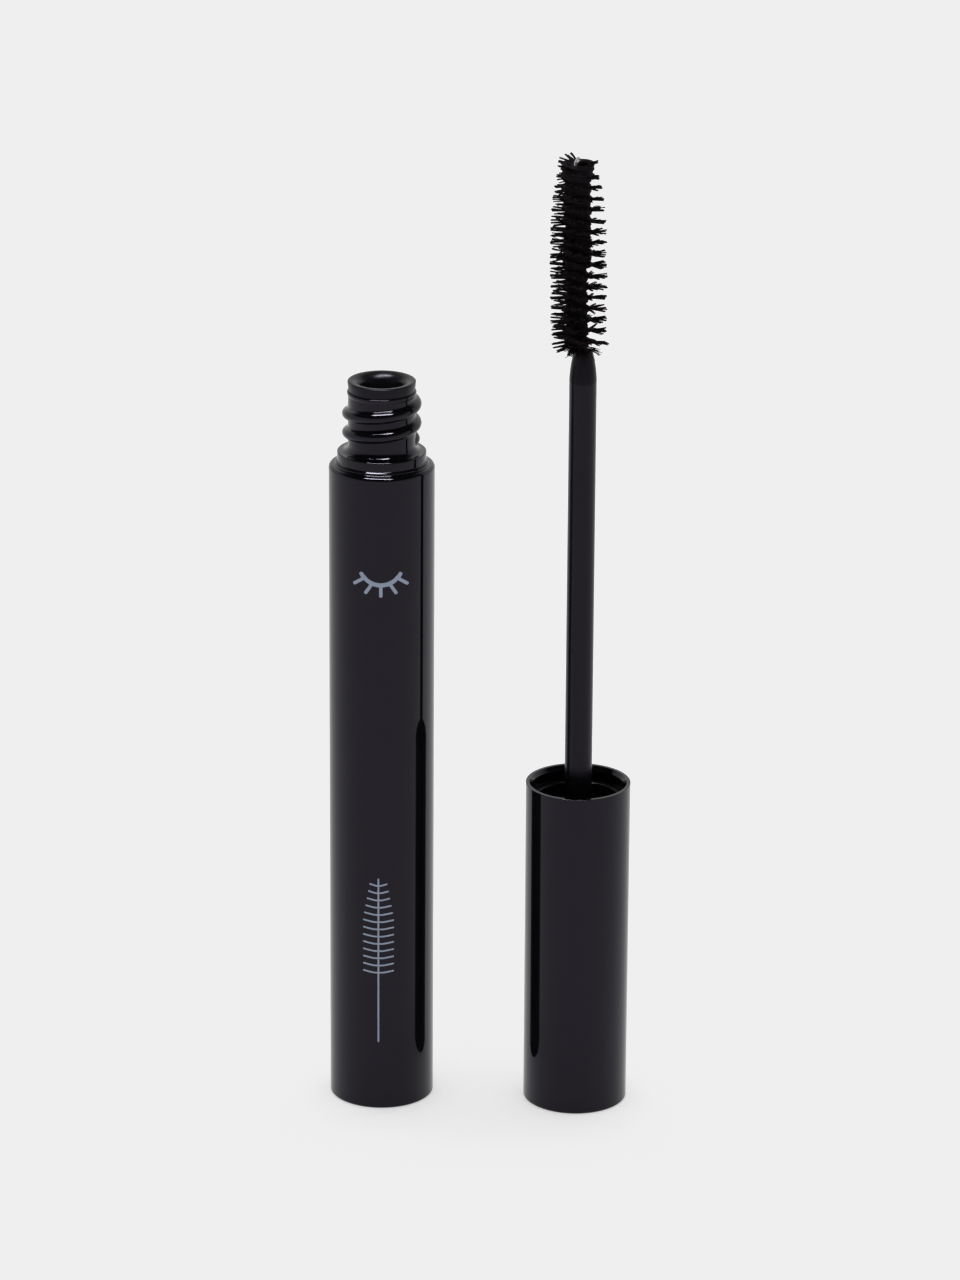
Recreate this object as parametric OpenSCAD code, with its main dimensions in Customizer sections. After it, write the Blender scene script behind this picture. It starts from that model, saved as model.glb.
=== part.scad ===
// Mascara tube: a screw-neck bottle with its wiper, and beside it the cap that carries
// the wand, standing upside down on its closed end. Millimetres, +Z up.
// Origin: on the table, midway between the axes of the bottle and the applicator.

/* [Arrangement] */
// Distance between the axes of the bottle and the applicator, along X
axis_gap = 28.15; // [20:0.05:40]
// How much nearer the front (-Y) the applicator stands
axis_step = 1.65; // [0:0.05:6]

/* [Sleeve] */
// Outer diameter of the glossy sleeve around the bottle
sleeve_d = 15; // [14.6:0.1:16]
// Height of the sleeve
sleeve_h = 96; // [94:0.1:97]
// Wall of the sleeve
sleeve_wall = 1; // [0.7:0.05:1.1]
// Rounding of the sleeve's top edge
shoulder_round = 0.6; // [0.1:0.05:0.65]
// Rounding of the sleeve's inner edge at the top
sleeve_inner_round = 0.3; // [0.1:0.05:0.35]
// Rounding of the foot of the sleeve and of the cap's closed end
foot_round = 0.35; // [0.2:0.05:1.5]
// Depth of the label's recess under the base
label_recess = 0.3; // [0.2:0.05:0.6]

/* [Bottle] */
// Height of the inner bottle's step above the sleeve
step_h = 0.55; // [0.4:0.05:1.2]
// Rounding of that step's edge
step_round = 0.45; // [0.1:0.05:0.5]
// Diameter of the collar above the step
collar_d = 12.6; // [12:0.05:12.9]
// Height of the collar above the step
collar_h = 1.3; // [0.6:0.05:2]
// Fillet between the collar and the neck
collar_fillet = 1.2; // [0.2:0.05:1.4]
// Wall of the inner bottle
bottle_wall = 0.9; // [0.7:0.05:1.2]

/* [Neck] */
// Diameter of the neck between the threads
neck_d = 9.56; // [9:0.02:9.7]
// Height of the neck, from the collar to the top of its lip
neck_h = 8.75; // [8.5:0.05:10]
// Diameter of the lip bead at the top of the neck
lip_d = 9.78; // [9.6:0.02:10]
// Height of the lip bead
lip_h = 0.6; // [0.4:0.05:1]
// Bore of the neck
neck_bore_d = 7.56; // [7.2:0.02:7.8]

/* [Thread] */
// Lead of the single-start right-hand thread
thread_pitch = 2.8; // [2.6:0.05:3]
// How far the bottle's thread bead stands out of the neck
thread_h = 0.84; // [0.6:0.02:0.9]
// Width of the bottle's thread bead at its root
thread_w = 1.6; // [1.2:0.05:1.9]
// Height of the bead's crest on the +X side, above the collar
thread_rise = 6.87; // [6.5:0.01:7.2]
// Where the bead ends at the top, degrees past the +X side
thread_top = 75; // [30:5:110]
// Where the bead ends at the bottom, degrees before the +X side
thread_bottom = 732; // [600:1:740]

/* [Wiper] */
// Thickness of the wiper's flange on the neck
flange_h = 1.55; // [0.8:0.05:1.8]
// Diameter of the flange's top
flange_d = 9.64; // [9.3:0.02:9.8]
// Diameter of the wiper's throat, below the rounding of its mouth
throat_d = 6; // [5.4:0.1:6.8]
// Radius of the mouth's rounding
lip_round = 1.7; // [0.4:0.1:1.8]
// Length of the wiper below the flange
skirt_h = 10.1; // [9:0.1:12]
// Diameter of the wiping orifice
orifice_d = 4.1; // [4.06:0.02:4.4]
// Length of the wiping orifice
orifice_h = 1.2; // [0.8:0.1:2]

/* [Filling] */
// Height of the paste above the table
fill_top = 84; // [40:1:88]
// Diameter of the channel that the brush leaves in the paste
channel_d = 8.6; // [6:0.1:9.6]

/* [Cap] */
// Outer diameter of the cap
cap_d = 15; // [14.8:0.1:15.4]
// Length of the cap
cap_h = 48.75; // [48:0.05:50]
// Flat width of the cap's mouth rim, outside the bevel that leads into the bore
mouth_land = 0.5; // [0.4:0.05:0.8]
// Wall of the cap at its mouth
cap_wall = 0.9; // [0.7:0.05:1]
// Thickness of the cap's closed end
cap_end = 1.4; // [1:0.1:3]
// Depth of the inner cap's face below the mouth
cap_recess = 2.25; // [2:0.05:2.3]
// Height of the inner cap's foot above the closed end's face
insert_z = 24; // [20:0.5:28]

/* [Wand] */
// Diameter of the rod where it leaves the cap
rod_d = 3.94; // [3.6:0.02:3.96]
// Diameter of the rod where its nose begins
rod_neck_d = 3.86; // [3.5:0.02:3.9]
// Diameter of the rod's end
rod_end_d = 2.5; // [2:0.1:3]
// Height of the rod's end above the closed end's face
rod_top = 113.2; // [110:0.1:114]
// Length of the rod's curved nose
nose_h = 5.2; // [3:0.1:8]

/* [Brush] */
// Length of the wire past the rod
brush_h = 28.2; // [24:0.1:28.4]
// Lean of the brush away from the rod's axis, towards the bottle
brush_lean = 1.8; // [0:0.1:3]
// Diameter over the bristles
bristle_d = 7.8; // [6:0.1:8]
// Diameter over the bristles at the tip
bristle_tip_d = 5; // [3:0.1:6]
// Diameter of the dense middle of the brush
bristle_core_d = 3.4; // [2:0.1:4]
// Distance between two rows of bristles
row_pitch = 1.57; // [1.4:0.01:2.2]
// Diameter of each of the two twisted wires
strand_d = 0.64; // [0.4:0.02:0.8]

/* [Hidden] */
$fn = 96;

floor_h = 1.2;                                  // sleeve's floor, and the bottle's above it
body_r = sleeve_d / 2 - sleeve_wall;            // outer radius of the inner bottle
cavity_r = body_r - bottle_wall;
step_top = sleeve_h + step_h;
collar_top = step_top + collar_h;
neck_r = neck_d / 2;
lip_top = collar_top + neck_h;
bore_r = neck_bore_d / 2;
mouth_top = lip_top + flange_h;
thread_r = neck_r + thread_h;
label_r = sleeve_d / 2 - 2.1;

cap_bore_r = cap_d / 2 - cap_wall;
closed_h = sleeve_h + cap_h;                    // length of the closed tube
insert_top = cap_h - cap_recess;
seal_z = closed_h - mouth_top;                  // where the wiper's flange comes in the cap
washer_h = 0.8;
washer_gap = 0.05;
cup_z = seal_z - washer_h - 3 * washer_gap;     // floor of the inner cap's threaded cup
cup_r = thread_r + 0.2;
groove_clearance = 0.27;                        // between the cap's bead and the neck

wire_r = strand_d - 0.02;                       // radius round the twisted pair
wire_root = 6;                                  // length of the wire inside the rod

// Points along an arc about c, from angle a0 to angle a1
function arc_points(c, r, a0, a1, n = 6) =
    [for (i = [0:n]) let (a = a0 + (a1 - a0) * i / n) c + r * [cos(a), sin(a)]];

// Radius over the bristles at a distance s along the brush
function brush_r(s) =
    let (taper = max(0, (s - 0.7 * brush_h) / (0.3 * brush_h)))
    bristle_d / 2 - (bristle_d - bristle_tip_d) / 2 * pow(taper, 1.3);

module at_bottle() {
    translate([-axis_gap / 2, axis_step / 2, 0]) children();
}

module at_applicator() {
    translate([axis_gap / 2, -axis_step / 2, 0]) children();
}

// The brush's own frame: the end of the rod, leaning towards the bottle
module at_brush() {
    at_applicator() translate([0, 0, rod_top]) rotate([0, -brush_lean, 0]) children();
}

// A right-hand bead of round section that winds from angle a0 to a1 on a wall of radius r.
// Its height is h (negative where it stands inwards) and its middle is at z where a = 0.
// Both ends fade into the wall over fade degrees.
module helical_bead(r, h, w, z, a0, a1, fade = 36) {
    turn_step = 12;
    bury = 0.1 * sign(h);                       // the bead's edges lie this deep in the wall
    sink = 0.2 * sign(h);                       // and its back this much deeper
    sides = 8;
    last = round((a1 - a0) / turn_step);
    section = concat([for (i = [0:sides])
                         [(h + bury) * sin(180 * i / sides), -w / 2 * cos(180 * i / sides)]],
                     [[-sink, w / 2], [-sink, -w / 2]]);
    count = len(section);
    ring = [for (k = [0:last]) let (a = a0 + (a1 - a0) * k / last,
                                    near = min(a - a0, a1 - a),
                                    grow = sin(90 * min(1, near / fade)))
        for (p = section) let (q = r - bury + p[0] * (p[0] * h > 0 ? grow : 1))
            [q * cos(a), q * sin(a), z + thread_pitch * a / 360 + p[1] * (0.4 + 0.6 * grow)]];
    forward = [for (i = [0:count - 1]) i];
    sides_of = [for (k = [0:last - 1]) for (i = [0:count - 1])
        let (j = (i + 1) % count, low = k * count, high = (k + 1) * count)
            [low + i, high + i, high + j, low + j]];
    faces = concat([forward], sides_of, [[for (i = forward) last * count + count - 1 - i]]);
    out = [for (f = faces) h < 0 ? f : [for (i = [len(f) - 1:-1:0]) f[i]]];
    polyhedron(ring, out, convexity = 8);
}

module outer_sleeve() {
    r = sleeve_d / 2;
    color("#1b1a1e") at_bottle() rotate_extrude() polygon(concat(
        [[0, label_recess], [label_r, label_recess], [label_r, 0]],
        arc_points([r - foot_round, foot_round], foot_round, -90, 0),
        arc_points([r - shoulder_round, sleeve_h - shoulder_round], shoulder_round, 0, 90),
        arc_points([body_r + sleeve_inner_round, sleeve_h - sleeve_inner_round],
                   sleeve_inner_round, 90, 180, 4),
        [[body_r, floor_h], [0, floor_h]]));
}

module inner_bottle() {
    edge = 0.2;
    fillet = collar_fillet;
    shoulder_z = step_top - 2.6;
    color("#232226") at_bottle() union() {
        rotate_extrude() polygon(concat(
            [[0, floor_h], [body_r, floor_h]],
            arc_points([body_r - step_round, step_top - step_round], step_round, 0, 90),
            [[collar_d / 2, step_top]],
            arc_points([collar_d / 2 - edge, collar_top - edge], edge, 0, 90, 3),
            arc_points([neck_r + fillet, collar_top + fillet], fillet, 270, 180, 8),
            arc_points([lip_d / 2 - lip_h / 2, lip_top - lip_h / 2], lip_h / 2, -52, 60, 6),
            [[bore_r, lip_top], [bore_r, shoulder_z], [cavity_r, shoulder_z - 2],
             [cavity_r, 2 * floor_h], [0, 2 * floor_h]]));
        helical_bead(neck_r, thread_h, thread_w, collar_top + thread_rise,
                     -thread_bottom, thread_top);
    }
}

module wiper() {
    edge = 0.2;
    wall = 0.4;
    bottom = lip_top - skirt_h;
    orifice_r = orifice_d / 2;
    crest_r = throat_d / 2 + lip_round * cos(30);   // where the mouth's rounding meets the rim
    cone_z = bottom + orifice_h + 2.8;
    color("#2a292d") at_bottle() rotate_extrude() polygon(concat(
        [[orifice_r, bottom], [orifice_r + wall, bottom], [bore_r, cone_z - 0.4],
         [bore_r, lip_top], [flange_d / 2 - 0.14, lip_top]],
        [for (a = [0:22.5:90]) [crest_r + (flange_d / 2 - crest_r) * cos(a),
                                mouth_top - edge + edge * sin(a)]],
        arc_points([crest_r, mouth_top - lip_round], lip_round, 90, 150),
        [[throat_d / 2, cone_z], [orifice_r, bottom + orifice_h]]));
}

module mascara_fill() {
    color("#0d0c0e") at_bottle() translate([0, 0, 2 * floor_h]) difference() {
        cylinder(r = cavity_r, h = fill_top - 2 * floor_h);
        translate([0, 0, -1]) cylinder(d = channel_d, h = fill_top);
    }
}

module base_label() {
    label_h = 0.15;
    color("#a7afbd") at_bottle() translate([0, 0, label_recess - label_h])
        cylinder(r = label_r - 0.2, h = label_h);
}

module sealing_washer() {
    color("#55555a") at_applicator() translate([0, 0, cup_z + washer_gap]) difference() {
        cylinder(r = neck_r - 0.08, h = washer_h);
        translate([0, 0, -1]) cylinder(d = rod_d + 0.3, h = washer_h + 2);
    }
}

module cap_shell() {
    r = cap_d / 2;
    mouth_round = 0.08;
    bevel = r - mouth_land - cap_bore_r;
    ledge_r = cap_bore_r - 0.4;
    color("#1b1a1e") at_applicator() rotate_extrude() polygon(concat(
        [[0, 0]],
        arc_points([r - foot_round, foot_round], foot_round, -90, 0),
        arc_points([r - mouth_round, cap_h - mouth_round], mouth_round, 0, 90, 4),
        [[r - mouth_land, cap_h], [cap_bore_r, cap_h - 1.5 * bevel]],
        [[cap_bore_r, insert_z], [ledge_r, insert_z]],
        arc_points([ledge_r - 0.6, cap_end + 0.6], 0.6, 0, -90, 4),
        [[0, cap_end]]));
}

module inner_cap() {
    wall = 0.9;
    boss_r = 3.2;
    web_h = 2.2;
    bevel = 0.25;
    hole_r = rod_d / 2;
    color("#141316") at_applicator() union() {
        rotate_extrude() polygon([
            [cap_bore_r, insert_z], [cap_bore_r, insert_top], [cup_r + bevel, insert_top],
            [cup_r, insert_top - bevel], [cup_r, cup_z], [hole_r, cup_z], [hole_r, insert_z],
            [boss_r, insert_z], [boss_r, cup_z - web_h],
            [cap_bore_r - wall, cup_z - web_h], [cap_bore_r - wall, insert_z]]);
        helical_bead(cup_r, -(cup_r - neck_r - groove_clearance), 1.2, cup_z + 4.4, 0, 540);
    }
}

module wand_rod() {
    head_h = 1.2;
    nose_z = rod_top - nose_h;
    nose_step = (rod_neck_d - rod_end_d) / 2;
    nose_r = (nose_h * nose_h + nose_step * nose_step) / (2 * nose_step);
    color("#242328") difference() {
        at_applicator() rotate_extrude() polygon(concat(
            [[0, insert_z - head_h], [rod_d / 2 + 0.8, insert_z - head_h],
             [rod_d / 2 + 0.8, insert_z], [rod_d / 2, insert_z], [rod_d / 2, insert_top]],
            arc_points([rod_neck_d / 2 - nose_r, nose_z], nose_r, 0, asin(nose_h / nose_r)),
            [[0, rod_top]]));
        at_brush() translate([0, 0, -wire_root]) cylinder(r = wire_r + 0.01, h = wire_root + 2);
    }
}

// Two wires twisted together, left-handed, two rows of bristles to a turn
module brush_wire() {
    wire_h = wire_root + brush_h;
    turns = wire_h / (2 * row_pitch);
    color("#8f8f94") at_brush() translate([0, 0, -wire_root])
        linear_extrude(height = wire_h, twist = 360 * turns, slices = round(8 * turns), $fn = 8)
            for (side = [-1, 1])
                translate([side * (wire_r - strand_d / 2), 0]) circle(d = strand_d, $fn = 10);
}

// The bristles' outer form: a comb of close rows round the wire
module bristles() {
    rows = floor((brush_h - 0.6) / row_pitch);
    half = 0.26 * row_pitch;
    first = 0.49;
    color("#0e0d0f") at_brush() rotate_extrude() polygon(concat(
        [[wire_r + 0.01, first], [bristle_core_d / 2, first]],
        [for (i = [0:rows - 1]) let (s = first + (i + 0.5) * row_pitch, r = brush_r(s))
            each [[bristle_core_d / 2, s - 1.4 * half], [r, s - half],
                  [r, s + half], [bristle_core_d / 2, s + 1.4 * half]]],
        [[bristle_core_d / 2, first + rows * row_pitch], [wire_r + 0.01, first + rows * row_pitch]]));
}

outer_sleeve();
inner_bottle();
wiper();
mascara_fill();
base_label();
sealing_washer();
cap_shell();
inner_cap();
wand_rod();
brush_wire();
bristles();
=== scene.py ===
"""Looks of the mascara tube: a glossy bottle, and the cap with its wand standing inverted beside it."""
import math
import random

import bmesh
import bpy
from mathutils import Matrix, Vector


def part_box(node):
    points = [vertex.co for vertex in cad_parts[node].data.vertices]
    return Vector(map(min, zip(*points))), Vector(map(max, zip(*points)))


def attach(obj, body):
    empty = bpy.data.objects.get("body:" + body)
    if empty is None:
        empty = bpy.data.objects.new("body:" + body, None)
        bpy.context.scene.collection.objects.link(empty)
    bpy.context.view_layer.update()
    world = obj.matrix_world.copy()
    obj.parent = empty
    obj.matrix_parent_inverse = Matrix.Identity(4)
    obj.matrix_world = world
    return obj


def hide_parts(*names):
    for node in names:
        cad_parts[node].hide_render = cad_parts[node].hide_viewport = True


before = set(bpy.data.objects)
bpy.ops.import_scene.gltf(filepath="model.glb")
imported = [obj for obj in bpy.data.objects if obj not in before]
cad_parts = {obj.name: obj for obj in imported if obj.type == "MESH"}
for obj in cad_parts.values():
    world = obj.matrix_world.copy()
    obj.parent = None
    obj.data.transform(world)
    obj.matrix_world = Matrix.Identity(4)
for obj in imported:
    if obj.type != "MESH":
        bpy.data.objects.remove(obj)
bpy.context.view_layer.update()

MM = 0.001               # profiles below are written in millimetres
SEGMENTS = 192           # around every turned piece


# ---------------------------------------------------------------- places from the frame

def axis_of(node):
    """The vertical axis of a round CAD node, as (x, y) in metres."""
    low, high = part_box(node)
    return (low.x + high.x) / 2, (low.y + high.y) / 2


def radius_mm(node):
    low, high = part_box(node)
    return (high.x - low.x) / 2 / MM


def top_mm(node):
    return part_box(node)[1].z / MM


def bottom_mm(node):
    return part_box(node)[0].z / MM


BOTTLE = axis_of("outer_sleeve")
APPLICATOR = axis_of("cap_shell")


# ---------------------------------------------------------------- camera

def look_from(position, pitch, roll, lens):
    """A camera that faces +Y, pitched down and rolled by small angles in degrees."""
    data = bpy.data.cameras.new("camera")
    data.sensor_width = 36
    data.lens = lens
    data.clip_start = 0.01
    data.clip_end = 50
    camera = bpy.data.objects.new("camera", data)
    bpy.context.scene.collection.objects.link(camera)
    turn = Matrix.Rotation(math.radians(90 - pitch), 4, "X") @ Matrix.Rotation(math.radians(roll), 4, "Z")
    camera.matrix_world = Matrix.Translation(position) @ turn
    bpy.context.scene.camera = camera


look_from(Vector((-0.0001, -0.7778, 0.3466)), pitch=19.586, roll=0.343, lens=163.4)


# ---------------------------------------------------------------- mesh helpers

def rounded(corners, steps=8):
    """The outline through corners (r, z, fillet), with an arc of that radius at each corner."""
    points = []
    for i, (r, z, fillet) in enumerate(corners):
        here = Vector((r, z))
        if not fillet:
            points.append((r, z))
            continue
        before = (Vector(corners[i - 1][:2]) - here).normalized()
        after = (Vector(corners[(i + 1) % len(corners)][:2]) - here).normalized()
        half = before.angle(after) / 2
        centre = here + (before + after).normalized() * (fillet / math.sin(half))
        start = here + before * (fillet / math.tan(half)) - centre
        end = here + after * (fillet / math.tan(half)) - centre
        sweep = math.atan2(start.x * end.y - start.y * end.x, start.dot(end))
        first = math.atan2(start.y, start.x)
        for k in range(steps + 1):
            a = first + sweep * k / steps
            points.append((centre.x + fillet * math.cos(a), centre.y + fillet * math.sin(a)))
    return points


def arc(centre_r, centre_z, radius, start, end, steps=16):
    """Points of an arc in the (r, z) plane, angles in degrees."""
    angles = [math.radians(start + (end - start) * k / steps) for k in range(steps + 1)]
    return [(centre_r + radius * math.cos(a), centre_z + radius * math.sin(a)) for a in angles]


def new_mesh(name, verts, faces, sharp=35):
    """A smooth-shaded object of the given mesh, with edges over sharp degrees kept crisp."""
    mesh = bpy.data.meshes.new(name)
    mesh.from_pydata(verts, [], faces)
    work = bmesh.new()
    work.from_mesh(mesh)
    bmesh.ops.recalc_face_normals(work, faces=work.faces)
    work.to_mesh(mesh)
    work.free()
    mesh.shade_smooth()
    mesh.set_sharp_from_angle(angle=math.radians(sharp))
    piece = bpy.data.objects.new(name, mesh)
    bpy.context.scene.collection.objects.link(piece)
    return piece


def turned(profile, axis, closed=False, segments=SEGMENTS):
    """Vertices and faces of a profile of (r, z) in mm turned about a vertical axis."""
    verts, rings, faces = [], [], []
    for r, z in profile:
        if r < 1e-6:
            rings.append([len(verts)])
            verts.append((axis[0], axis[1], z * MM))
            continue
        rings.append(range(len(verts), len(verts) + segments))
        for k in range(segments):
            a = 2 * math.pi * k / segments
            verts.append((axis[0] + r * MM * math.cos(a), axis[1] + r * MM * math.sin(a), z * MM))
    pairs = list(zip(rings, rings[1:]))
    if closed:
        pairs.append((rings[-1], rings[0]))
    for low, high in pairs:
        for k in range(segments):
            n = (k + 1) % segments
            if len(low) == 1 and len(high) > 1:
                faces.append((low[0], high[n], high[k]))
            elif len(high) == 1 and len(low) > 1:
                faces.append((low[k], low[n], high[0]))
            elif len(low) > 1:
                faces.append((low[k], low[n], high[n], high[k]))
    return verts, faces


def joined(*parts):
    """Several (vertices, faces) as one."""
    verts, faces = [], []
    for v, f in parts:
        faces += [tuple(i + len(verts) for i in face) for face in f]
        verts += list(v)
    return verts, faces


def swept(sections):
    """Vertices and faces of a closed skin through equal rings of points, with both ends capped."""
    count = len(sections[0])
    verts = [p for ring in sections for p in ring]
    faces = [tuple(reversed(range(count))), tuple(range(len(verts) - count, len(verts)))]
    for k in range(len(sections) - 1):
        for i in range(count):
            j = (i + 1) % count
            faces.append((k * count + i, k * count + j, (k + 1) * count + j, (k + 1) * count + i))
    return verts, faces


def dress(piece, body, slot, material, *replaced):
    """Gives a new piece its material and its body, and hides the CAD nodes that it stands for."""
    piece.data.materials.append(material)
    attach(piece, body)
    if replaced:
        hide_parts(*replaced)
    return piece


# ---------------------------------------------------------------- materials

def shader(name, **constants):
    """A node material and its main shader, with constants on the shader's own sockets."""
    material = bpy.data.materials.new(name)
    material.use_nodes = True
    principled = material.node_tree.nodes["Principled BSDF"]
    for socket, value in constants.items():
        principled.inputs[socket.replace("_", " ")].default_value = value
    return material, principled


def noise(tree, scale, detail=4.0, stretch=(1, 1, 1)):
    """A noise over the object's own coordinates. Its cells are about 1/scale metres."""
    place = tree.nodes.new("ShaderNodeTexCoord")
    fit = tree.nodes.new("ShaderNodeMapping")
    fit.inputs["Scale"].default_value = stretch
    texture = tree.nodes.new("ShaderNodeTexNoise")
    texture.inputs["Scale"].default_value = scale
    texture.inputs["Detail"].default_value = detail
    tree.links.new(place.outputs["Object"], fit.inputs["Vector"])
    tree.links.new(fit.outputs["Vector"], texture.inputs["Vector"])
    return texture.outputs["Fac"]


def spread(tree, value, low, high):
    """Maps the middle of a noise's range to the range from low to high."""
    node = tree.nodes.new("ShaderNodeMapRange")
    node.inputs["From Min"].default_value = 0.3
    node.inputs["From Max"].default_value = 0.7
    node.inputs["To Min"].default_value = low
    node.inputs["To Max"].default_value = high
    tree.links.new(value, node.inputs["Value"])
    return node.outputs["Result"]


def two_tone(tree, value, first, second):
    """A colour between two, chosen by a noise."""
    node = tree.nodes.new("ShaderNodeMix")
    node.data_type = "RGBA"
    node.inputs["A"].default_value = (*first, 1)
    node.inputs["B"].default_value = (*second, 1)
    tree.links.new(value, node.inputs["Factor"])
    return node.outputs["Result"]


def bumped(tree, principled, height, depth):
    """Lets a noise raise the surface by about depth metres."""
    node = tree.nodes.new("ShaderNodeBump")
    node.inputs["Strength"].default_value = 1.0
    node.inputs["Distance"].default_value = depth
    tree.links.new(height, node.inputs["Height"])
    tree.links.new(node.outputs["Normal"], principled.inputs["Normal"])


VIOLET = (0.87, 0.79, 1.0, 1)      # the cold cast that black plastic gives to what it mirrors


def moulded(name, dark, light, roughness, grain, depth, specular=0.24, **constants):
    """Moulded plastic: a slow drift of tone and gloss, and a fine grain in the skin."""
    material, principled = shader(name, Specular_IOR_Level=specular, Specular_Tint=VIOLET, **constants)
    tree = material.node_tree
    drift = noise(tree, 260, detail=3)
    tree.links.new(two_tone(tree, drift, dark, light), principled.inputs["Base Color"])
    tree.links.new(spread(tree, noise(tree, 900), *roughness), principled.inputs["Roughness"])
    bumped(tree, principled, noise(tree, grain, detail=6), depth)
    return material


GLOSS = moulded("gloss_black_plastic", (0.0022, 0.0020, 0.0029), (0.0040, 0.0036, 0.0050),
                roughness=(0.03, 0.06), grain=1400, depth=2e-7)
BOTTLE_PLASTIC = moulded("bottle_black_plastic", (0.0024, 0.0022, 0.0028), (0.0045, 0.0041, 0.0052),
                         roughness=(0.05, 0.10), grain=1600, depth=4e-7)
SOFT = moulded("wiper_soft_plastic", (0.0045, 0.0040, 0.0052), (0.008, 0.0073, 0.009),
               roughness=(0.26, 0.36), grain=2600, depth=4e-7, specular=0.15)
INNER = moulded("inner_cap_plastic", (0.0015, 0.0015, 0.0018), (0.0030, 0.0028, 0.0034),
                roughness=(0.25, 0.38), grain=2400, depth=1e-6, specular=0.2)
ROD_PLASTIC = moulded("rod_satin_plastic", (0.0028, 0.0024, 0.0031), (0.0050, 0.0044, 0.0054),
                      roughness=(0.20, 0.28), grain=3000, depth=1e-6, specular=0.2)
PASTE_FILM = moulded("paste_film", (0.0012, 0.0010, 0.0013), (0.0030, 0.0026, 0.0032),
                     roughness=(0.16, 0.28), grain=2400, depth=3e-6, specular=0.13)
FOAM = moulded("washer_foam", (0.07, 0.07, 0.075), (0.12, 0.12, 0.125),
               roughness=(0.75, 0.9), grain=5200, depth=2e-5)
PASTE = moulded("mascara_paste", (0.0010, 0.0009, 0.0012), (0.0030, 0.0025, 0.0030),
                roughness=(0.12, 0.45), grain=1300, depth=6e-5, specular=0.4)
FIBRE = moulded("nylon_fibre", (0.0050, 0.0036, 0.0038), (0.0170, 0.0095, 0.0092),
                roughness=(0.45, 0.65), grain=6000, depth=2e-6, specular=0.06)
ROOT_PASTE = moulded("root_paste", (0.0095, 0.0074, 0.0090), (0.0180, 0.0140, 0.0170),
                     roughness=(0.5, 0.8), grain=2200, depth=1.5e-4, specular=0.02)
PRINT = moulded("print_ink", (0.27, 0.32, 0.42), (0.33, 0.38, 0.48),
                roughness=(0.35, 0.5), grain=9000, depth=1e-6, specular=0.3)
LABEL = moulded("label_film", (0.28, 0.33, 0.42), (0.33, 0.38, 0.47),
                roughness=(0.4, 0.6), grain=4200, depth=3e-6)


def steel():
    """Bare drawn wire, scored along its length."""
    material, principled = shader("steel_wire", Metallic=1.0)
    tree = material.node_tree
    tone = noise(tree, 1800, detail=5, stretch=(1, 1, 0.2))
    tree.links.new(two_tone(tree, tone, (0.42, 0.42, 0.44), (0.66, 0.66, 0.68)),
                   principled.inputs["Base Color"])
    tree.links.new(spread(tree, tone, 0.18, 0.34), principled.inputs["Roughness"])
    bumped(tree, principled, tone, 3e-6)
    return material


STEEL = steel()


# ---------------------------------------------------------------- bottle

SLEEVE_R = radius_mm("outer_sleeve")
SLEEVE_TOP = top_mm("outer_sleeve")
SLEEVE_WALL = 1.0
FOOT_ROUND = 0.35
SHOULDER_ROUND = 0.6
BODY_R = SLEEVE_R - SLEEVE_WALL
NECK_TOP = top_mm("inner_bottle")
MOUTH_TOP = top_mm("wiper")


def make_sleeve():
    recess_r = SLEEVE_R - 2.1
    recess = 0.3
    floor = 1.2
    bore_r = BODY_R + 0.03
    profile = rounded([
        (0, recess, 0), (recess_r, recess, 0.05), (recess_r, 0, 0.1), (SLEEVE_R, 0, FOOT_ROUND),
        (SLEEVE_R, SLEEVE_TOP, SHOULDER_ROUND), (bore_r, SLEEVE_TOP, 0.3), (bore_r, floor, 0),
        (0, floor, 0)])
    piece = new_mesh("outer_sleeve_shell", *turned(profile, BOTTLE))
    return dress(piece, "bottle", "gloss_black", GLOSS, "outer_sleeve")


THREAD_PITCH = 2.8
THREAD_HEIGHT = 0.84
THREAD_WIDTH = 1.6
THREAD_RISE = 6.87       # from the collar to the bead's crest on the +X side
THREAD_START, THREAD_END = -732, 75    # degrees from the +X side
BEAD_FOOT = 0.25         # fillet at each root of a thread bead
BEAD_SUNK = 0.10         # how far a bead reaches into its wall
BEAD_FADE = 36           # degrees over which a bead grows at each end
NECK_R = 4.78


def bead_outline(height, width):
    """The (out, along) outline of a bead: an elliptic crown between two small fillets."""
    side = math.copysign(1, height)
    fillet = []
    for a in map(math.radians, (0, 18, 36, 54, 72)):
        out = side * BEAD_FOOT * (1 - math.cos(a))
        fillet.append((out, width / 2 + 0.92 * BEAD_FOOT * (1 - math.sin(a))))
    steps = 14
    crown = [(height * math.sin(math.pi * i / steps), -width / 2 * math.cos(math.pi * i / steps))
             for i in range(2, steps - 1)]
    sunk = -BEAD_SUNK * side
    edge = width / 2 + BEAD_FOOT
    return ([(sunk, -edge)] + [(out, -along) for out, along in fillet] + crown
            + fillet[::-1] + [(sunk, edge)])


def bead(wall_r, height, width, middle, start, end, axis, steps_per_turn=96):
    """A right-hand thread bead on a round wall, from start to end degrees, inwards if height is negative."""
    sunk = BEAD_SUNK * math.copysign(1, height)
    outline = bead_outline(height, width)
    count = round((end - start) / 360 * steps_per_turn)
    rings = []
    for k in range(count + 1):
        turned_by = start + (end - start) * k / count
        near = min(turned_by - start, end - turned_by)
        grow = math.sin(math.pi / 2 * min(1, near / BEAD_FADE))
        a = math.radians(turned_by)
        ring = []
        for out, along in outline:
            r = wall_r - sunk + (out + sunk) * grow
            z = middle + THREAD_PITCH * turned_by / 360 + along * (0.4 + 0.6 * grow)
            ring.append((axis[0] + r * MM * math.cos(a), axis[1] + r * MM * math.sin(a), z * MM))
        rings.append(ring)
    return swept(rings)


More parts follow.
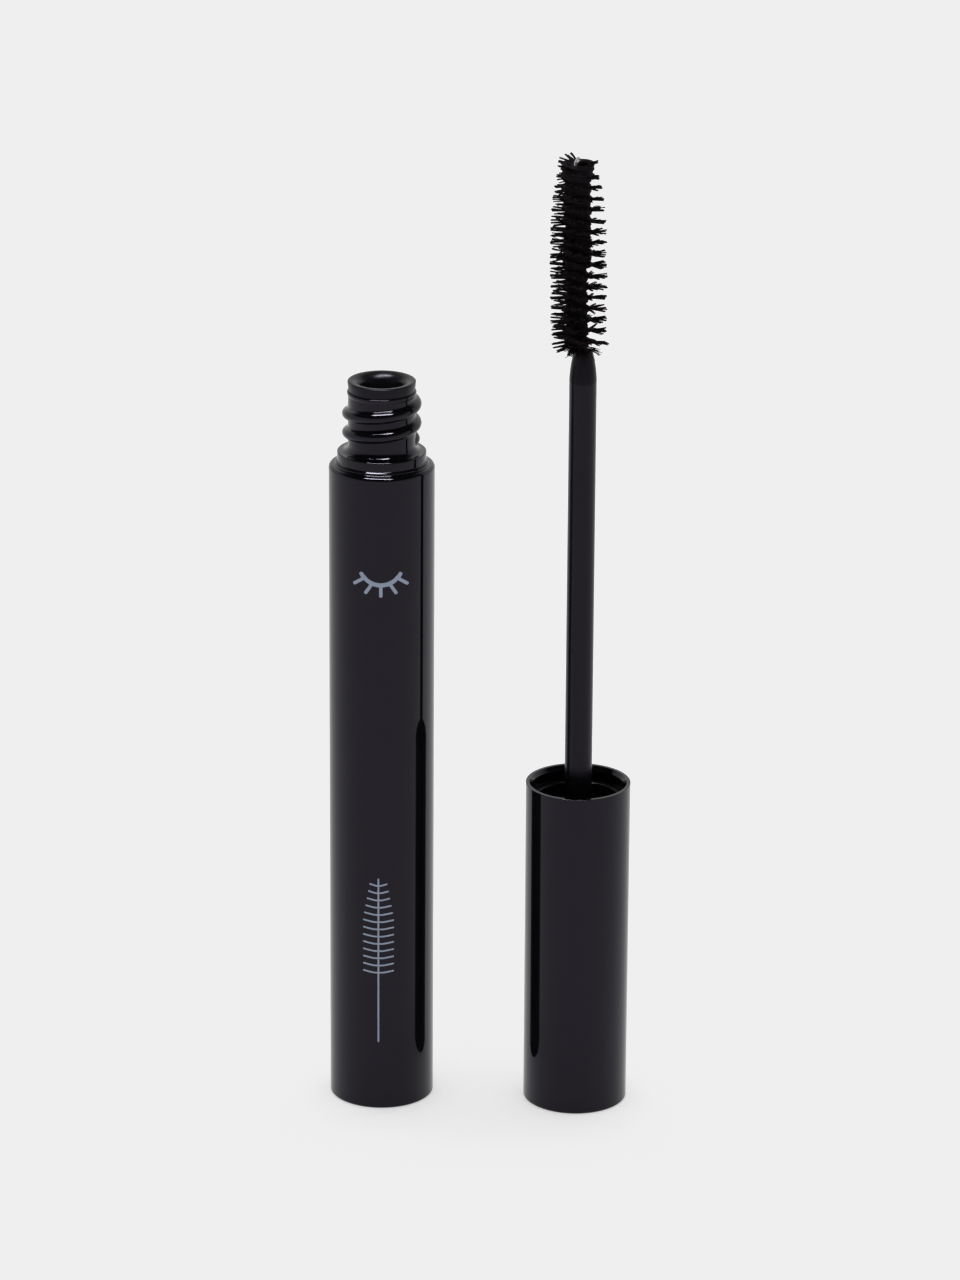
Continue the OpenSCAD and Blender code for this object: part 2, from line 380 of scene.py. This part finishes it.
def make_inner_bottle():
    floor = bottom_mm("inner_bottle")
    cavity_floor = floor + 1.2
    cavity_r = BODY_R - 0.9
    step_top = SLEEVE_TOP + 0.55
    collar_r = 6.3
    collar_top = step_top + 1.3
    lip_r = 4.89
    lip_low = NECK_TOP - 0.6
    lip_widest = NECK_TOP - 0.36
    bore_r = 3.78
    shoulder = step_top - 2.6
    foot = 0.25
    foot_arc = arc(BODY_R + foot, SLEEVE_TOP + foot, foot, 270, 180, steps=8)
    edge, edge_low, edge_high = 0.8, 48, 68
    edge_arc = arc(collar_r - edge * math.cos(math.radians(edge_high)),
                   step_top - edge * math.sin(math.radians(edge_high)), edge, edge_low, edge_high, steps=6)
    body = [(0, floor, 0), (BODY_R, floor, 0.2), (BODY_R, SLEEVE_TOP - 0.3, 0)]
    step = [(r, z, 0) for r, z in foot_arc + edge_arc]
    profile = rounded(body + step + [
        (collar_r, collar_top, 0.16), (NECK_R, collar_top, 1.0), (NECK_R, lip_low, 0.04),
        (lip_r, lip_widest, 0.12), (lip_r, NECK_TOP, 0.12), (bore_r, NECK_TOP, 0.1),
        (bore_r, shoulder, 0.4), (cavity_r, shoulder - 2, 0.6), (cavity_r, cavity_floor, 0.5),
        (0, cavity_floor, 0)])
    thread = bead(NECK_R, THREAD_HEIGHT, THREAD_WIDTH, collar_top + THREAD_RISE,
                  THREAD_START, THREAD_END, BOTTLE)
    piece = new_mesh("inner_bottle_moulding", *joined(turned(profile, BOTTLE), thread))
    return dress(piece, "bottle", "bottle_black", BOTTLE_PLASTIC, "inner_bottle")


def make_wiper():
    bottom = bottom_mm("wiper")
    orifice_r = 2.05
    throat_r = 3.0
    lip_round = 1.7
    wall = 0.4
    bore_r = 3.77
    flange_r = radius_mm("wiper")
    orifice_top = bottom + 1.2
    cone_top = orifice_top + 2.8
    crest_r = throat_r + lip_round * math.cos(math.radians(30))
    crown = 0.2
    outer_edge = [(crest_r + (flange_r - crest_r) * math.cos(a), MOUTH_TOP - crown + crown * math.sin(a))
                  for a in (math.pi / 2 * k / 10 for k in range(11))]
    mouth = arc(crest_r, MOUTH_TOP - lip_round, lip_round, 90, 150, steps=30)
    top = [(r, z, 0) for r, z in outer_edge + mouth]
    profile = rounded(top + [
        (throat_r, cone_top, 0.8), (orifice_r, orifice_top, 0.4), (orifice_r, bottom, 0.1),
        (orifice_r + wall, bottom, 0.12), (bore_r, cone_top - 0.4, 0.6),
        (bore_r, NECK_TOP, 0), (flange_r - 0.15, NECK_TOP, 0.06)])
    piece = new_mesh("wiper_insert", *turned(profile, BOTTLE, closed=True))
    return dress(piece, "bottle", "wiper_black", SOFT, "wiper")


# ---------------------------------------------------------------- cap and wand

CAP_R = radius_mm("cap_shell")
CAP_TOP = top_mm("cap_shell")
CAP_BORE_R = CAP_R - 0.9
INSERT_TOP = top_mm("inner_cap")
INSERT_Z = bottom_mm("inner_cap")
ROD_TOP = top_mm("wand_rod")
ROD_R = 1.97


def make_cap():
    ledge_r = CAP_BORE_R - 0.4
    end = 1.4
    mouth_land = 0.5
    mouth_bevel_h = 0.6
    profile = rounded([
        (0, 0, 0), (CAP_R, 0, FOOT_ROUND), (CAP_R, CAP_TOP, 0.05), (CAP_R - mouth_land, CAP_TOP, 0.03),
        (CAP_BORE_R, CAP_TOP - mouth_bevel_h, 0.1),
        (CAP_BORE_R, INSERT_Z, 0), (ledge_r, INSERT_Z, 0.1), (ledge_r, end, 0.6), (0, end, 0)])
    piece = new_mesh("cap_outer_shell", *turned(profile, APPLICATOR))
    return dress(piece, "applicator", "gloss_black", GLOSS, "cap_shell")


def make_inner_cap():
    cup_z = bottom_mm("sealing_washer") - 0.05
    cup_r = NECK_R + THREAD_HEIGHT + 0.2
    boss_r = 3.2
    web = cup_z - 2.2
    skirt_r = CAP_BORE_R - 0.93
    outside = CAP_BORE_R - 0.01
    profile = rounded([
        (outside, INSERT_Z, 0.15), (outside, INSERT_TOP, 0.12), (cup_r, INSERT_TOP, 0.25),
        (cup_r, cup_z, 0.3), (ROD_R, cup_z, 0.1), (ROD_R, INSERT_Z, 0.1), (boss_r, INSERT_Z, 0.1),
        (boss_r, web, 0.3), (skirt_r, web, 0.3), (skirt_r, INSERT_Z, 0.1)])
    crest = cup_r - NECK_R - 0.27
    thread = bead(cup_r, -crest, width=1.2, middle=cup_z + 4.4, start=0, end=540, axis=APPLICATOR)
    piece = new_mesh("inner_cap_moulding",
                     *joined(turned(profile, APPLICATOR, closed=True), thread))
    return dress(piece, "applicator", "inner_cap_black", INNER, "inner_cap")


ROD_END_R = 1.25


def nose_curve(lift=0.0):
    """The outline of the rod's curved nose, set out by lift."""
    neck_r = 1.93
    nose = 5.2
    step = neck_r - ROD_END_R
    nose_r = (nose ** 2 + step ** 2) / (2 * step)
    sweep = math.degrees(math.asin(nose / nose_r))
    return arc(neck_r - nose_r, ROD_TOP - nose, nose_r + lift, 0, sweep * 0.965, steps=28)


def make_rod():
    foot = bottom_mm("wand_rod")
    head_r = ROD_R + 0.8
    head_h = 1.2
    shank_r = ROD_R - 0.01
    socket_r = 0.66
    socket = ROD_TOP - 1.5
    curve = nose_curve()
    tip = rounded([(curve[-1][0], curve[-1][1], 0), (ROD_END_R - 0.05, ROD_TOP, 0.16),
                   (socket_r, ROD_TOP, 0.04), (socket_r, socket, 0), (0, socket, 0)])
    head = rounded([(0, foot, 0), (head_r, foot, 0.2), (head_r, foot + head_h, 0.2),
                    (shank_r, foot + head_h, 0.1), (shank_r, INSERT_TOP, 0)])
    piece = new_mesh("wand_rod_turned", *turned(head + curve + tip[1:], APPLICATOR))
    return dress(piece, "applicator", "rod_black", ROD_PLASTIC, "wand_rod")


def make_nose_film():
    """The thin coat of paste on the rod's nose, below the brush."""
    outer = nose_curve(lift=0.025)[4:]
    inner = nose_curve(lift=-0.03)[2:]
    piece = new_mesh("rod_nose_film", *turned(outer + inner[::-1], APPLICATOR, closed=True))
    return dress(piece, "applicator", "mascara_paste", PASTE_FILM)


# ---------------------------------------------------------------- brush

BRUSH_LEAN = 1.0         # degrees towards the bottle
BEND = 0.6               # the wire's sideways step where it leaves the rod
BRUSH_H = 28.2           # bristles past the rod
ROW_PITCH = 1.572        # between rows of bristles; the wires turn once in two rows
FIRST_ROW = 1.276        # height of the lowest row on the outer side
FIBRE_REACH = 4.1        # from the wire's axis to the fibres' tips
TIP_REACH = 2.55
TUFTS_PER_MM = 8.5
FIBRES_PER_TUFT = 8
STRAY_FIBRES = 34        # hanging over the end of the rod
BRUSH_FRAME = (Matrix.Translation((*APPLICATOR, ROD_TOP * MM))
               @ Matrix.Rotation(math.radians(-BRUSH_LEAN), 4, "Y"))


def in_brush(x, y, s):
    """A point of the brush's own frame, in mm, brought into the shared frame."""
    bend = BEND * (1 - math.exp(-max(0, s) / 0.8))
    return BRUSH_FRAME @ Vector(((x - bend) * MM, y * MM, s * MM))


def twist_at(s):
    """The direction of the bristles at height s: the wires are twisted left-handed."""
    return -math.pi * (s - FIRST_ROW) / ROW_PITCH


def tube(points, radii, sides):
    """A closed tube along points in mm in the brush's frame."""
    rings = []
    for k, p in enumerate(points):
        ahead = Vector(points[min(k + 1, len(points) - 1)]) - Vector(points[max(k - 1, 0)])
        upright = abs(ahead.normalized().z) > 0.9
        across = ahead.cross(Vector((1, 0, 0)) if upright else Vector((0, 0, 1))).normalized()
        up = ahead.cross(across).normalized()
        ring = []
        for i in range(sides):
            a = 2 * math.pi * i / sides
            q = Vector(p) + (across * math.cos(a) + up * math.sin(a)) * radii[k]
            ring.append(in_brush(*q))
        rings.append(ring)
    return swept(rings)


def make_wire():
    """Two strands twisted together. They end at unequal heights and part slightly there."""
    strand_r = 0.32
    steps = 260
    low = -1.4
    parts = []
    for side, high in ((0, BRUSH_H - 0.95), (math.pi, BRUSH_H - 0.65)):
        points, radii = [], []
        for k in range(steps + 1):
            s = low + (high - low) * k / steps
            a = side + twist_at(s)
            offset = 0.30 + 0.1 * max(0, s - high + 0.8) ** 2
            points.append((offset * math.cos(a), offset * math.sin(a), s))
            radii.append(strand_r * (0.8 if k == steps else 1))
        parts.append(tube(points, radii, 14))
    piece = new_mesh("brush_wire_twist", *joined(*parts), sharp=60)
    return dress(piece, "applicator", "wire_steel", STEEL, "brush_wire")


def reach_at(s):
    """Length of the fibres at height s along the brush."""
    taper = max(0.0, (s / BRUSH_H - 0.63) / 0.37)
    return FIBRE_REACH - (FIBRE_REACH - TIP_REACH) * taper ** 1.25


def rise_at(s):
    """How far the fibres' tips stand above their roots: they fan out at both ends of the brush."""
    low = max(0.0, 2.0 - s)
    high = max(0.0, s - BRUSH_H + 3.0)
    return -0.04 - 0.5 * low + 0.4 * high


def fibre(rng, root_angle, root_s, tip_angle, tip_s, reach, thick):
    """One nylon fibre from the wire outwards, with a slight bow."""
    bow = rng.gauss(0, 0.05)
    root_r = 0.3
    points, radii = [], []
    steps = 5
    for k in range(steps + 1):
        t = k / steps
        r = root_r + (reach - root_r) * t
        a = root_angle + (tip_angle - root_angle) * t ** 1.3
        s = root_s + (tip_s - root_s) * t ** 1.3 + bow * math.sin(math.pi * t)
        points.append((r * math.cos(a), r * math.sin(a), s))
        radii.append(thick * (1 - 0.3 * t))
    return tube(points, radii, 5)


def tuft(rng, middle, half):
    """Fibres clamped beside each other at height middle, which the paste draws together."""
    lean = rng.uniform(-0.3, 0.26) + min(0.4, rng.expovariate(1 / 0.06))
    swing = rng.gauss(0, 0.10)
    gather = rng.uniform(0.5, 0.95)
    reach = reach_at(middle) * (1 - abs(rng.gauss(0, 0.025)))
    parts = []
    for _ in range(FIBRES_PER_TUFT):
        s = middle + rng.uniform(-0.5, 0.5) / TUFTS_PER_MM
        angle = half + twist_at(s) + rng.gauss(0, 0.04)
        tip_angle = angle + gather * (half + twist_at(middle) - angle) + swing + rng.gauss(0, 0.02)
        tip_s = s + gather * (middle - s) + lean + rng.gauss(0, 0.05) + rise_at(s)
        own_reach = reach * (1 - abs(rng.gauss(0, 0.03)))
        parts.append(fibre(rng, angle, s, tip_angle, tip_s, own_reach, rng.uniform(0.06, 0.08)))
    return parts


def stray_fibre(rng):
    """One fibre that hangs over the end of the rod."""
    s = rng.uniform(0.1, 0.5)
    angle = rng.uniform(0, 2 * math.pi)
    reach = reach_at(s) * (0.8 - 0.15 * math.cos(angle)) * rng.uniform(0.88, 1)
    return fibre(rng, angle, s, angle, s - rng.uniform(0.5, 1.1), reach, 0.07)


def make_bristles():
    """Tufts of fibres on both sides of the twisted wires, from one end of the brush to the other."""
    rng = random.Random(11)
    parts = []
    low, high = 0.4, BRUSH_H - 1.0
    tufts = round((high - low) * TUFTS_PER_MM)
    for n in range(tufts):
        for half in (0, math.pi):
            middle = low + (high - low) * (n + rng.uniform(-0.3, 0.3)) / tufts
            parts += tuft(rng, middle, half)
    for _ in range(STRAY_FIBRES):
        parts.append(stray_fibre(rng))
    piece = new_mesh("bristle_fibres", *joined(*parts), sharp=80)
    return dress(piece, "applicator", "bristle_black", FIBRE, "bristles")


def ramp(value, start, end):
    """0 up to start, 1 from end on, and even between them."""
    return min(1.0, max(0.0, (value - start) / (end - start)))


def core_at(s):
    """Radius of the paste round the wires: thin at the root, full in the upper half and at the tip."""
    return 1.2 + 0.55 * ramp(s, 11.8, 12.8) + 0.42 * ramp(s, 24.2, 25.1)


def make_brush_paste():
    """The paste in the roots of the bristles: a core round the wires, and a web along each row."""
    rng = random.Random(5)
    ripples = [(rng.uniform(1.5, 6), rng.randint(1, 5), rng.uniform(0, 6.3), rng.uniform(0.02, 0.05))
               for _ in range(12)]
    webs = [(rng.uniform(3, 26), rng.uniform(0, 6.3)) for _ in range(8)]
    web_reach, web_wave, web_angle = 2.05, 0.11, 0.66
    sides, steps = 56, 540
    low, top = 0.05, 26.95
    stations = [(low + (top - low) * k / steps, 1.0) for k in range(steps + 1)]
    stations += [(top - 0.02, 0.86), (top - 0.3, 0.7), (top - 0.8, 0.5), (top - 1.1, 0.3)]
    rings = []
    for s, size in stations:
        core = core_at(s)
        start = 0.55 + 0.45 * ramp(s, low, 0.9)
        reach = web_reach + sum(web_wave * math.sin(rate * s + phase) for rate, phase in webs)
        reach = min(reach, 0.85 * reach_at(s))
        ring = []
        for i in range(sides):
            turn = 2 * math.pi * i / sides
            from_web = abs((turn + math.pi / 2) % math.pi - math.pi / 2)
            web = math.exp(-(from_web / web_angle) ** 3)
            wave = sum(amount * math.sin(rate * s + times * turn + phase)
                       for rate, times, phase, amount in ripples)
            r = (max(core, core + (reach - core) * web) + wave) * start * size
            a = turn + twist_at(s)
            ring.append(in_brush(r * math.cos(a), r * math.sin(a), s))
        rings.append(ring)
    piece = new_mesh("brush_root_paste", *swept(rings), sharp=80)
    return dress(piece, "applicator", "mascara_paste", ROOT_PASTE)


# ---------------------------------------------------------------- print on the sleeve

INK = 0.012              # how far the print stands out of the sleeve and reaches into it


def on_sleeve(u, v, lift):
    """A point of the sleeve's front: u mm round it from the middle, at height v."""
    a = -math.pi / 2 + u / SLEEVE_R
    r = (SLEEVE_R + lift) * MM
    return BOTTLE[0] + r * math.cos(a), BOTTLE[1] + r * math.sin(a), v * MM


def fine_line(points, step=0.2):
    """The polyline through (u, v) points, cut into stretches of about step."""
    fine = []
    for (u0, v0), (u1, v1) in zip(points, points[1:]):
        pieces = max(1, round(math.hypot(u1 - u0, v1 - v0) / step))
        fine += [(u0 + (u1 - u0) * k / pieces, v0 + (v1 - v0) * k / pieces) for k in range(pieces)]
    return fine + [points[-1]]


def across(at, heading, half, widen=90):
    """The two points at half a width from a place, widen degrees to the left and right of a heading."""
    turn = math.radians(widen)
    return [(at[0] + half * math.cos(heading + side * turn), at[1] + half * math.sin(heading + side * turn))
            for side in (1, -1)]


def stroke(points, width):
    """An ink line through (u, v) points, with round ends."""
    fine = fine_line(points)
    half = width / 2
    pairs = []
    for k, at in enumerate(fine):
        before, after = fine[max(k - 1, 0)], fine[min(k + 1, len(fine) - 1)]
        heading = math.atan2(after[1] - before[1], after[0] - before[0])
        if k == 0:
            pairs += [across(at, heading, half, widen) for widen in (150, 120)]
        pairs.append(across(at, heading, half))
        if k == len(fine) - 1:
            pairs += [across(at, heading, half, widen) for widen in (60, 30)]
    return swept([[on_sleeve(*left, INK), on_sleeve(*right, INK),
                   on_sleeve(*right, -INK), on_sleeve(*left, -INK)] for left, right in pairs])


def make_lash_icon(middle_v=81.1, width=5.9):
    """A closed eye: one curved lid and five lashes."""
    lid_r = 0.56 * width
    centre_v = middle_v + 0.42 * width
    lid_half = 58
    lid = [(lid_r * math.sin(math.radians(a)), centre_v - lid_r * math.cos(math.radians(a)))
           for a in range(-lid_half, lid_half + 1, 4)]
    parts = [stroke(lid, 0.62)]
    for a in (-48, -24, 0, 24, 48):
        t = math.radians(a)
        lash = [(r * math.sin(t * (0.9 + 0.12 * (r - lid_r))), centre_v - r * math.cos(t))
                for r in (lid_r, lid_r + 0.8, lid_r + 1.6)]
        parts.append(stroke(lash, 0.48))
    piece = new_mesh("print_lash_icon", *joined(*parts))
    return dress(piece, "bottle", "label_grey", PRINT)


def make_wand_icon(low_v=10.6, high_v=36.2, width=4.3, middle_u=-0.35):
    """A small wand and brush in thin lines, up the sleeve's front."""
    line = 0.24
    rows = 13
    brush_low = low_v + 0.42 * (high_v - low_v)
    brush_high = high_v - 1.4
    parts = [stroke([(middle_u, low_v), (middle_u, high_v - 0.4)], line)]
    for k in range(rows):
        t = k / (rows - 1)
        v = brush_low + (brush_high - brush_low) * t
        half = width / 2 * (1 - 0.45 * max(0, t - 0.6) / 0.4)
        bar = [(-half, v + 0.25), (-0.3 * half, v), (0.3 * half, v), (half, v + 0.25)]
        parts.append(stroke([(middle_u + u, w) for u, w in bar], line))
    piece = new_mesh("print_wand_icon", *joined(*parts))
    return dress(piece, "bottle", "label_grey", PRINT)


# ---------------------------------------------------------------- pieces that keep their CAD shape

def paint(node, material):
    """Gives a CAD node that keeps its shape a better material."""
    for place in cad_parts[node].material_slots:
        place.material = material


# ---------------------------------------------------------------- stage and light

BACKDROP = 0.863         # brightness of the floor in the picture, linear
SWEEP = 0.92             # brightness of the white sweep round the set
CEILING = 0.02           # brightness of the dark studio above it
DARK_FROM, DARK_FULL = 16, 36    # degrees above the horizon between which it turns dark
STUDIO_TILT = 18         # degrees by which the dark part leans towards the camera
FLOOR_OWN_LIGHT = 0.43   # part of the floor's brightness that nothing shades


def make_floor():
    side = 3.0
    floor = new_mesh("floor", [(-side, -side, 0), (side, -side, 0), (side, side, 0), (-side, side, 0)],
                     [(0, 1, 2, 3)])
    material, principled = shader("pale_floor", Roughness=1.0, Specular_IOR_Level=0.0,
                                  Emission_Strength=FLOOR_OWN_LIGHT)
    tree = material.node_tree
    mottle = noise(tree, 40, detail=2)
    tree.links.new(two_tone(tree, mottle, (0.79, 0.79, 0.79), (0.81, 0.81, 0.81)),
                   principled.inputs["Base Color"])
    principled.inputs["Emission Color"].default_value = (1, 1, 1.01, 1)
    floor.data.materials.append(material)


def make_surroundings():
    """White paper that rises behind the set, and a dark studio above it and behind the camera."""
    world = bpy.data.worlds.new("studio")
    world.use_nodes = True
    tree = world.node_tree
    direction = tree.nodes.new("ShaderNodeTexCoord")
    tilt = tree.nodes.new("ShaderNodeMapping")
    tilt.inputs["Rotation"].default_value = (math.radians(-STUDIO_TILT), 0, 0)
    split = tree.nodes.new("ShaderNodeSeparateXYZ")
    fade = tree.nodes.new("ShaderNodeMapRange")
    fade.interpolation_type = "SMOOTHSTEP"
    fade.inputs["From Min"].default_value = math.sin(math.radians(DARK_FROM))
    fade.inputs["From Max"].default_value = math.sin(math.radians(DARK_FULL))
    fade.inputs["To Min"].default_value = SWEEP
    fade.inputs["To Max"].default_value = CEILING
    tree.links.new(direction.outputs["Generated"], tilt.inputs["Vector"])
    tree.links.new(tilt.outputs["Vector"], split.inputs["Vector"])
    tree.links.new(split.outputs["Z"], fade.inputs["Value"])
    tree.links.new(fade.outputs["Result"], tree.nodes["Background"].inputs["Color"])
    bpy.context.scene.world = world


def set_tone():
    """Standard tones, with the paper white of the backdrop held at one level."""
    view = bpy.context.scene.view_settings
    view.view_transform = "Standard"
    view.use_curve_mapping = True
    mapping = view.curve_mapping
    mapping.extend = "HORIZONTAL"
    curve = mapping.curves[3]
    curve.points[0].location = (0, 0)
    curve.points[-1].location = (1, BACKDROP)
    for x, y in ((0.78, 0.78), (0.88, 0.855), (0.92, BACKDROP)):
        curve.points.new(x, y)
    for point in curve.points:
        point.handle_type = "VECTOR"
    mapping.update()


def panel(name, place, aim, width, depth, power, colour=(1, 1, 1), diffuse=True, gloss=True):
    """A rectangular light, seen by matt surfaces or by glossy ones or by both."""
    data = bpy.data.lights.new(name, "AREA")
    data.shape = "RECTANGLE"
    data.size, data.size_y = width, depth
    data.energy = power
    data.color = colour
    light = bpy.data.objects.new(name, data)
    bpy.context.scene.collection.objects.link(light)
    light.location = place
    light.rotation_euler = (Vector(aim) - Vector(place)).to_track_quat("-Z", "Y").to_euler()
    light.visible_diffuse = diffuse
    light.visible_glossy = gloss


def make_light():
    top = Vector((0, 0, MOUTH_TOP * MM))
    panel("softbox_above", top + Vector((-0.042, -0.085, 0.6)), top, 0.42, 0.085, 10,
          colour=(0.96, 1.0, 0.98), diffuse=False)
    panel("fill_above", Vector((0, 0, 1.6)), (0, 0, 0), 2.4, 2.4, 21, gloss=False)


make_sleeve()
make_inner_bottle()
make_wiper()
make_lash_icon()
make_wand_icon()
make_cap()
make_inner_cap()
make_rod()
make_nose_film()
make_wire()
make_bristles()
make_brush_paste()
paint("mascara_fill", PASTE)
paint("base_label", LABEL)
paint("sealing_washer", FOAM)
make_floor()
make_surroundings()
set_tone()
make_light()
